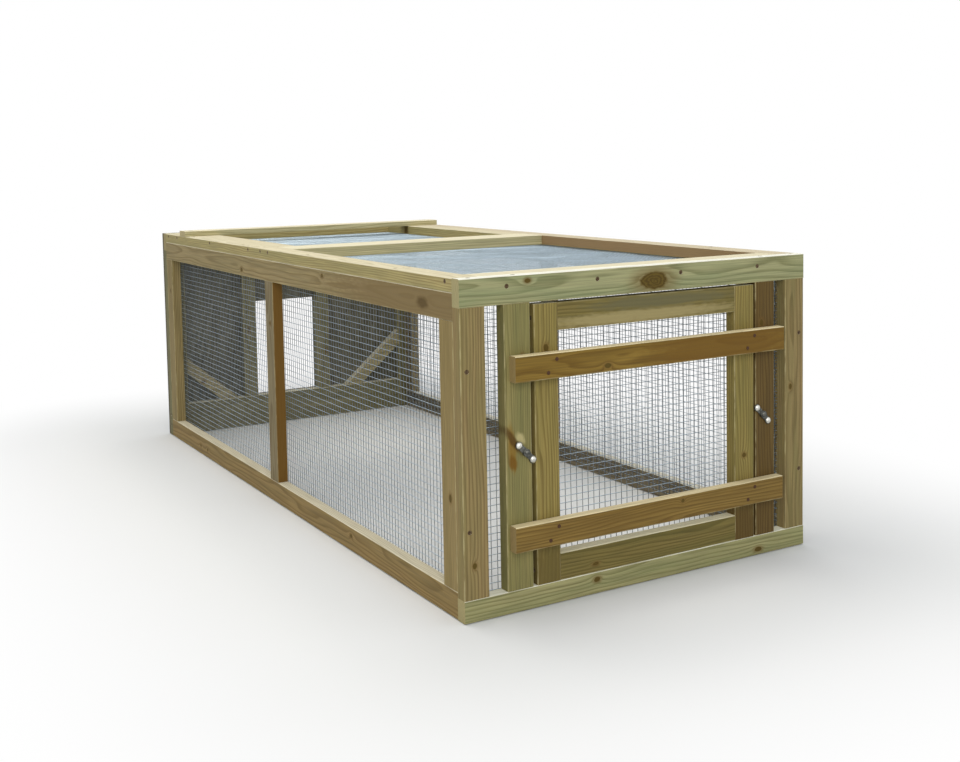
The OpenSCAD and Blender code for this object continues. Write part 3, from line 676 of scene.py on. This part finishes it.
def galvanised(name, pale, dull, painted_top_light, roughness):
    """Zinc-coated steel: a dull spangle, with painted light on what faces up: a paler tone
    stands in for the light and sky that it reflects.
    """
    made, tree, shader = new_material(name)
    source = add(tree, "ShaderNodeTexCoord")
    spangle = add(tree, "ShaderNodeTexVoronoi",
                  {"Vector": source.outputs["Object"], "Scale": 1 / SPANGLE})
    bloom = add(tree, "ShaderNodeTexNoise",
                {"Vector": source.outputs["Object"], "Scale": 1 / BLOOM,
                 "Detail": 3.0})
    share = add(tree, "ShaderNodeMath",
                {0: spangle.outputs["Distance"], 1: bloom},
                operation="MULTIPLY")
    share = add(tree, "ShaderNodeMapRange",
                {0: share, 1: 0.1, 2: 0.4, 3: 0.0, 4: 1.0})
    tone = add(tree, "ShaderNodeMix",
               {0: share, 6: colour(pale), 7: colour(dull)}, data_type="RGBA")
    facing = add(tree, "ShaderNodeSeparateXYZ", {0: source.outputs["Normal"]})
    # Faces that look up get painted light: the painted_top_light colour stands in for the
    # sky and light they reflect
    top_light_share = add(tree, "ShaderNodeMapRange",
                   {0: facing.outputs["Z"], 1: 0.1, 2: 0.7, 3: 0.0, 4: 0.85})
    tone = add(tree, "ShaderNodeMix",
               {0: top_light_share, 6: tone.outputs[2], 7: colour(painted_top_light)},
               data_type="RGBA")
    tree.links.new(tone.outputs[2], shader.inputs["Base Color"])
    rough = add(tree, "ShaderNodeMapRange",
                {0: bloom, 1: 0.3, 2: 0.7,
                 3: roughness - 0.08, 4: roughness + 0.12})
    tree.links.new(rough.outputs[0], shader.inputs["Roughness"])
    shader.inputs["Metallic"].default_value = 0.8
    return made


def lapped(timber, sheet_low, sheet_high, plane):
    """The rectangle where a timber and a sheet lie on each other."""
    low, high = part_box(timber)
    return ([max(low[a], sheet_low[a]) for a in plane],
            [min(high[a], sheet_high[a]) for a in plane])


def wire_layer(along, across, first, length, count):
    """Straight wires along one axis, a pitch apart across another, each with
    points along it at which it can bend."""
    bpy.ops.object.select_all(action="DESELECT")
    bpy.ops.mesh.primitive_cylinder_add(
        vertices=WIRE_SIDES, radius=WIRE / 2, depth=length, location=first,
        rotation=WIRE_TURN[along])
    bpy.ops.object.transform_apply(location=True, rotation=True, scale=True)
    layer = bpy.context.object
    mesh = layer.data
    bpy.ops.object.mode_set(mode="EDIT")
    bpy.ops.mesh.select_mode(type="EDGE")
    bpy.ops.mesh.select_all(action="DESELECT")
    bpy.ops.object.mode_set(mode="OBJECT")
    for edge in mesh.edges:
        ends = [mesh.vertices[i].co[along] for i in edge.vertices]
        edge.select = abs(ends[0] - ends[1]) > length / 2
    bpy.ops.object.mode_set(mode="EDIT")
    bpy.ops.mesh.subdivide(number_cuts=int(length / BEND_EVERY))
    bpy.ops.object.mode_set(mode="OBJECT")
    bpy.ops.object.modifier_add(type="ARRAY")
    rows = layer.modifiers[-1]
    rows.count = count
    rows.use_relative_offset = False
    rows.use_constant_offset = True
    rows.constant_offset_displace = [WIRE_PITCH * (a == across)
                                     for a in range(3)]
    bpy.ops.object.modifier_apply(modifier=rows.name)
    return layer


def join(parts, name):
    """One mesh object from several."""
    bpy.ops.object.select_all(action="DESELECT")
    for part in parts:
        part.select_set(True)
    bpy.context.view_layer.objects.active = parts[0]
    bpy.ops.object.join()
    bpy.ops.object.transform_apply(location=True, rotation=True, scale=True)
    parts[0].name = name
    parts[0].data.name = name
    return parts[0]


def weldmesh(node, body, timbers, metal):
    """Replaces a flat net by its sheet of welded mesh, and staples it."""
    low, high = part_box(node)
    size = high - low
    through = min(range(3), key=lambda a: size[a])
    plane = [a for a in range(3) if a != through]
    timber_low, timber_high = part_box(timbers[0])
    behind = (low + high)[through] > (timber_low + timber_high)[through]
    inward = 1 if behind else -1
    face = low[through] if behind else high[through]

    # One layer of wires lies on the timbers and the other crosses behind it
    counts = [int((size[a] - WIRE) / WIRE_PITCH) + 1 for a in plane]
    first = [(low[a] + high[a] - (count - 1) * WIRE_PITCH) / 2
             for a, count in zip(plane, counts)]
    layers = []
    for k, (along, across) in enumerate((plane, plane[::-1])):
        start = [0.0, 0.0, 0.0]
        start[along] = (low[along] + high[along]) / 2
        start[across] = first[1 - k]
        start[through] = face + inward * (WIRE / 2 + k * (WIRE - WELD))
        layers.append(wire_layer(along, across, start, size[along],
                                 counts[1 - k]))
    sheet = join(layers, node + "_sheet")

    # Flat where it is stapled down, it bulges either way between the timbers
    laps = [lapped(timber, low, high, plane) for timber in timbers]
    free = sheet.vertex_groups.new(name="between_timbers")
    for vertex in sheet.data.vertices:
        place = [vertex.co[a] for a in plane]
        clear = min(max(lap_low[0] - place[0], place[0] - lap_high[0],
                        lap_low[1] - place[1], place[1] - lap_high[1])
                    for lap_low, lap_high in laps)
        weight = min(1.0, max(0.0, clear / FLAT_NEAR_TIMBER))
        free.add([vertex.index], weight * weight * (3 - 2 * weight), "REPLACE")
    waves = bpy.data.textures.new(node + "_waves", "CLOUDS")
    waves.noise_scale = BULGE_WIDTH
    bpy.ops.object.modifier_add(type="DISPLACE")
    bulge = sheet.modifiers[-1]
    bulge.texture = waves
    bulge.vertex_group = free.name
    bulge.direction = AXES[through]
    bulge.strength = 2 * BULGE
    bpy.ops.object.modifier_apply(modifier=bulge.name)
    sheet.vertex_groups.clear()
    sheet.data.materials.append(metal)
    bpy.ops.object.shade_smooth()
    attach(sheet, body)
    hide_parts(node)

    # Staples down the middle of each timber, each over a crossing of wires
    chance = random.Random(node)
    driven = []
    for lap_low, lap_high in laps:
        run = 0 if lap_high[0] - lap_low[0] > lap_high[1] - lap_low[1] else 1
        length = lap_high[run] - lap_low[run] - 2 * STAPLE_FROM_END
        count = max(1, round(length / STAPLE_EVERY))
        for i in range(count + 1):
            spot = [(lap_low[a] + lap_high[a]) / 2 for a in (0, 1)]
            spot[run] = lap_low[run] + STAPLE_FROM_END + length * i / count
            wires = [round((spot[a] - first[a]) / WIRE_PITCH) for a in (0, 1)]
            spot = [first[a] + WIRE_PITCH * wires[a] for a in (0, 1)]
            staple = bpy.data.objects.new("staple", staple_pattern.data.copy())
            bpy.context.scene.collection.objects.link(staple)
            lean = math.radians(chance.uniform(*STAPLE_LEAN))
            crown = Vector((0, 0, 0))
            crown[plane[0]] = math.cos(lean)
            crown[plane[1]] = math.sin(lean)
            out = Vector((0, 0, 0))
            out[through] = inward
            centre = Vector((0, 0, 0))
            centre[plane[0]], centre[plane[1]] = spot
            centre[through] = face + inward * (2 * WIRE + STAPLE_WIRE / 2)
            turned = Matrix((crown, out.cross(crown), out)).transposed()
            staple.matrix_world = (Matrix.Translation(centre)
                                   @ turned.to_4x4())
            driven.append(staple)
    staples = join(driven, node + "_staples")
    staples.data.materials.append(staple_zinc)
    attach(staples, body)


# The wire's faces that look up get a painted reflection of a pale blue sky. The roof wire
# is paler and bluer all over: a painted reflection of the sky.
mesh_zinc = galvanised("galvanised_wire", pale="#7C8286", dull="#5C6165",
                       painted_top_light="#D2EAFD", roughness=0.42)
roof_zinc = galvanised("weathered_roof_wire", pale="#9CABB8", dull="#7C8A96",
                       painted_top_light="#E0F3FF", roughness=0.42)
staple_zinc = galvanised("galvanised_staple", pale="#B4B6B5", dull="#8C8C88",
                         painted_top_light="#BDBFBD", roughness=0.35)

# One staple: a crown with a leg at each end, its edges rounded
bpy.ops.object.select_all(action="DESELECT")
bpy.ops.mesh.primitive_cube_add(size=1)
staple_pattern = bpy.context.object
staple_pattern.scale = (STAPLE_CROWN, STAPLE_WIRE, STAPLE_WIRE)
bpy.ops.object.transform_apply(location=True, rotation=True, scale=True)
bpy.ops.object.mode_set(mode="EDIT")
leg_from = STAPLE_CROWN / 2 - STAPLE_WIRE
for side in (-1, 1):
    bpy.ops.mesh.select_all(action="SELECT")
    bpy.ops.mesh.bisect(plane_co=(side * leg_from, 0, 0), plane_no=(1, 0, 0))
bpy.ops.mesh.select_mode(type="FACE")
bpy.ops.mesh.select_all(action="DESELECT")
bpy.ops.object.mode_set(mode="OBJECT")
for face in staple_pattern.data.polygons:
    face.select = face.normal.z < -0.9 and abs(face.center.x) > leg_from
bpy.ops.object.mode_set(mode="EDIT")
bpy.ops.mesh.extrude_faces_move(
    TRANSFORM_OT_shrink_fatten={"value": STAPLE_LEG})
bpy.ops.object.mode_set(mode="OBJECT")
bpy.ops.object.modifier_add(type="BEVEL")
staple_pattern.modifiers[-1].width = STAPLE_WIRE / 4
staple_pattern.modifiers[-1].segments = 1
bpy.ops.object.modifier_apply(modifier=staple_pattern.modifiers[-1].name)
bpy.ops.object.shade_smooth_by_angle(angle=STAPLE_SMOOTH)

weldmesh("front_left_mesh", "frame",
         ["front_left_post", "door_left_jamb", "front_top_rail",
          "front_bottom_rail"], mesh_zinc)
weldmesh("front_right_mesh", "frame",
         ["front_right_post", "door_right_jamb", "front_top_rail",
          "front_bottom_rail"], mesh_zinc)
weldmesh("door_mesh", "door",
         ["door_left_stile", "door_right_stile", "door_top_rail",
          "door_bottom_rail"], mesh_zinc)
for side in ("left", "right"):
    weldmesh(f"{side}_mesh", "frame",
             [f"{side}_{part}" for part in ("top_rail", "bottom_rail",
                                            "front_stile", "middle_stile",
                                            "rear_stile")], mesh_zinc)
weldmesh("roof_mesh", "frame",
         ["roof_left_rail", "roof_right_rail", "roof_front_rail",
          "roof_rear_rail", "roof_cross_bar", "roof_second_bar",
          "roof_left_inner_rail", "roof_right_inner_rail"], roof_zinc)
bpy.data.objects.remove(staple_pattern)

# The turn buttons: two short bars pressed from steel plate and zinc plated,
# each with two domed tips for the fingers and a boss round its hole. The tips'
# near-white zinc is a painted highlight, and the rest has gone dull and dark.
BUTTON_ARM = 20.0 * MM
BUTTON_TIP = 7.0 * MM
BUTTON_PLATE = 2.5 * MM
BUTTON_WAIST = 10.5 * MM
BUTTON_DOME = 4.0 * MM
BUTTON_BOSS = 6.0 * MM
BUTTON_BORE = 2.05 * MM
BUTTON_EDGE = 0.35 * MM
BUTTON_SLANT = math.radians(45)
# Corners over the first angle are rounded, and under the second shade smooth
BUTTON_SHARP = math.radians(40)
BUTTON_SMOOTH = math.radians(35)
ROUND_SIDES = 48


def merge(target, other, operation):
    """Adds or cuts another shape with a boolean, and removes that shape."""
    bpy.ops.object.select_all(action="DESELECT")
    target.select_set(True)
    bpy.context.view_layer.objects.active = target
    bpy.ops.object.modifier_add(type="BOOLEAN")
    cut = target.modifiers[-1]
    cut.operation = operation
    cut.solver = "EXACT"
    cut.object = other
    bpy.ops.object.modifier_apply(modifier=cut.name)
    bpy.data.objects.remove(other)


def round_bar(radius, low, high, at=0.0):
    """An upright round bar between two heights."""
    bpy.ops.object.select_all(action="DESELECT")
    bpy.ops.mesh.primitive_cylinder_add(
        vertices=ROUND_SIDES, radius=radius, depth=high - low,
        location=(at, 0, (low + high) / 2))
    bpy.ops.object.transform_apply(location=True, rotation=True, scale=True)
    return bpy.context.object


highlighted_zinc = galvanised("polished_zinc_tip", pale="#E8E8E2",
                           dull="#BDBDB4", painted_top_light="#F0F0EA",
                           roughness=0.26)
dull_zinc = galvanised("dulled_zinc_plate", pale="#6C6D68", dull="#484A46",
                       painted_top_light="#8F908A", roughness=0.45)
for side in ("left", "right"):
    node = side + "_turn_button"
    low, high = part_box(node)
    pivot = Vector(((low[0] + high[0]) / 2, high[1], (low[2] + high[2]) / 2))
    bpy.ops.object.select_all(action="DESELECT")
    bpy.ops.mesh.primitive_cube_add(size=1, location=(0, 0, BUTTON_PLATE / 2))
    button = bpy.context.object
    button.scale = (2 * BUTTON_ARM, BUTTON_WAIST, BUTTON_PLATE)
    bpy.ops.object.transform_apply(location=True, rotation=True, scale=True)
    for end in (-1, 1):
        merge(button, round_bar(BUTTON_TIP, 0, BUTTON_PLATE, end * BUTTON_ARM),
              "UNION")
        bpy.ops.mesh.primitive_uv_sphere_add(
            segments=ROUND_SIDES, ring_count=ROUND_SIDES // 2,
            radius=BUTTON_TIP,
            location=(end * BUTTON_ARM, 0,
                      BUTTON_PLATE + BUTTON_DOME - BUTTON_TIP))
        dome = bpy.context.object
        bpy.ops.object.transform_apply(location=True, rotation=True,
                                       scale=True)
        bpy.ops.object.mode_set(mode="EDIT")
        bpy.ops.mesh.select_all(action="SELECT")
        bpy.ops.mesh.bisect(
            plane_co=(0, 0, BUTTON_PLATE / 2), plane_no=(0, 0, 1),
            use_fill=True, clear_inner=True)
        bpy.ops.object.mode_set(mode="OBJECT")
        merge(button, dome, "UNION")
    merge(button, round_bar(BUTTON_TIP, 0, BUTTON_BOSS), "UNION")
    merge(button, round_bar(BUTTON_BORE, -BUTTON_BOSS, 2 * BUTTON_BOSS),
          "DIFFERENCE")
    bpy.ops.object.modifier_add(type="BEVEL")
    edge = button.modifiers[-1]
    edge.width = BUTTON_EDGE
    edge.segments = 2
    edge.limit_method = "ANGLE"
    edge.angle_limit = BUTTON_SHARP
    bpy.ops.object.modifier_apply(modifier=edge.name)
    bpy.ops.object.shade_smooth_by_angle(angle=BUTTON_SMOOTH)
    button.data.materials.append(dull_zinc)
    button.data.materials.append(highlighted_zinc)
    # The tops of the domed tips take the painted highlight
    for face in button.data.polygons:
        out = abs(face.center.x) > BUTTON_ARM - BUTTON_TIP
        if out and face.center.z > BUTTON_PLATE + BUTTON_EDGE:
            face.material_index = 1
    button.matrix_world = (Matrix.Translation(pivot)
                           @ Matrix.Rotation(BUTTON_SLANT, 4, "Y")
                           @ Matrix.Rotation(math.radians(90), 4, "X"))
    bpy.ops.object.transform_apply(location=True, rotation=True, scale=True)
    button.name = side + "_turn_button_pressing"
    button.data.name = button.name
    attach(button, side + "_button")
    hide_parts(node)
coat("turn_button_screws", dull_zinc)

# The screws and nails: steel that has lost most of its plating. The screws'
# heads are dull brown and the wire nails darker, with rust in the hollows.
RUST_SPOT = 1.6 * MM
RUST_RELIEF = 0.1 * MM


def aged_steel(name, clean, rust, rusted, metallic):
    """Plain steel, its rust in blotches that cover more as rusted rises."""
    made, tree, shader = new_material(name)
    source = add(tree, "ShaderNodeTexCoord")
    blotches = add(tree, "ShaderNodeTexNoise",
                   {"Vector": source.outputs["Object"],
                    "Scale": 1 / RUST_SPOT, "Detail": 4.0})
    share = add(tree, "ShaderNodeMapRange",
                {0: blotches, 1: 0.62 - 0.3 * rusted, 2: 0.74 - 0.3 * rusted,
                 3: 0.0, 4: 1.0})
    tone = add(tree, "ShaderNodeMix",
               {0: share, 6: colour(clean), 7: colour(rust)}, data_type="RGBA")
    tree.links.new(tone.outputs[2], shader.inputs["Base Color"])
    bare = add(tree, "ShaderNodeMapRange",
               {0: share, 1: 0.0, 2: 1.0, 3: metallic, 4: 0.1})
    tree.links.new(bare.outputs[0], shader.inputs["Metallic"])
    rough = add(tree, "ShaderNodeMapRange",
                {0: share, 1: 0.0, 2: 1.0, 3: 0.42, 4: 0.85})
    tree.links.new(rough.outputs[0], shader.inputs["Roughness"])
    bump = add(tree, "ShaderNodeBump",
               {"Height": blotches, "Strength": 0.4,
                "Distance": RUST_RELIEF})
    tree.links.new(bump.outputs[0], shader.inputs["Normal"])
    return made


screw_steel = aged_steel("dulled_screw_steel", clean="#6C5B42",
                         rust="#4A331C", rusted=0.6, metallic=0.6)
for piece in ("door_screws", "front_frame_screws", "side_frame_screws",
              "rear_frame_screws", "roof_frame_screws", "front_panel_screws",
              "rear_panel_screws", "roof_hold_screws", "top_batten_screws",
              "rear_board_screws"):
    coat(piece, screw_steel)
nail_steel = aged_steel("rusty_nail_steel", clean="#50402C",
                        rust="#4A2C14", rusted=0.9, metallic=0.5)
coat("batten_nails", nail_steel)
